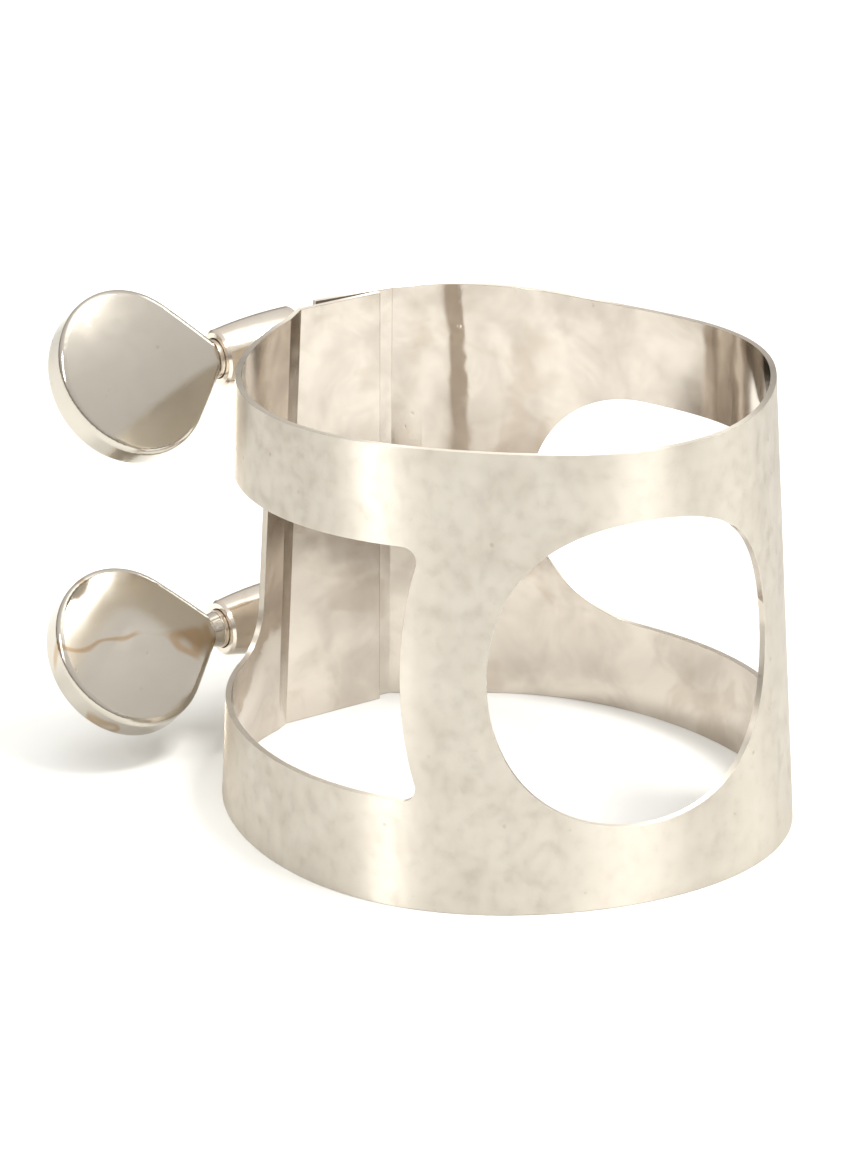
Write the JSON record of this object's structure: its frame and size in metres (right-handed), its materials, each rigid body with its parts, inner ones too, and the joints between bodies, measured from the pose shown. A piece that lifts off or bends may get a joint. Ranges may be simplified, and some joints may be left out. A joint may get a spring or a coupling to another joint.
{
  "type": "saxophone ligature",
  "caption": "Tapered nickel-plated sheet-metal band with open windows, drawn closed by thumb screws in lugs, that clamps a reed on a saxophone mouthpiece.",
  "frame": {"origin": "on the band's axis, at the plane of the wide rim", "axes": "+Z along the band's axis to the narrow rim, +Y to the gap with the lugs, -X the way the thumb screws' heads point"},
  "size_m": [0.0297, 0.0337, 0.0241],
  "materials": {
    "band": "nickel plate",
    "guide_lug_upper": "nickel plate",
    "threaded_lug_upper": "nickel plate",
    "screw_shank_upper": "nickel plate",
    "screw_head_upper": "nickel plate",
    "guide_lug_lower": "nickel plate",
    "threaded_lug_lower": "nickel plate",
    "screw_shank_lower": "nickel plate",
    "screw_head_lower": "nickel plate"
  },
  "bodies": {
    "band": {"band": "band", "guide_lug_upper": "guide_lug_upper", "threaded_lug_upper": "threaded_lug_upper", "guide_lug_lower": "guide_lug_lower", "threaded_lug_lower": "threaded_lug_lower"},
    "shank_upper": {"screw_shank_upper": "screw_shank_upper"},
    "head_upper": {"screw_head_upper": "screw_head_upper"},
    "shank_lower": {"screw_shank_lower": "screw_shank_lower"},
    "head_lower": {"screw_head_lower": "screw_head_lower"}
  },
  "joints": [
    {"name": "screw_advance_upper", "type": "slide", "parent": "band", "child": "shank_upper", "axis": [-1, 0, 0], "range_m": [-0.00023, 0.005]},
    {"name": "screw_turn_upper", "type": "hinge", "parent": "shank_upper", "child": "head_upper", "pos_m": [-0.0069, 0.01572, 0.02013], "axis": [-1, 0, 0], "range_deg": [-162, 3600]},
    {"name": "screw_advance_lower", "type": "slide", "parent": "band", "child": "shank_lower", "axis": [-1, 0, 0], "range_m": [-0.00023, 0.005]},
    {"name": "screw_turn_lower", "type": "hinge", "parent": "shank_lower", "child": "head_lower", "pos_m": [-0.0069, 0.016, 0.00537], "axis": [-1, 0, 0], "range_deg": [-162, 3600]}
  ],
  "couplings": [
    {"joint": "screw_turn_upper", "follows": "screw_advance_upper", "rad_per_m": 12566},
    {"joint": "screw_turn_lower", "follows": "screw_advance_lower", "rad_per_m": 12566}
  ]
}
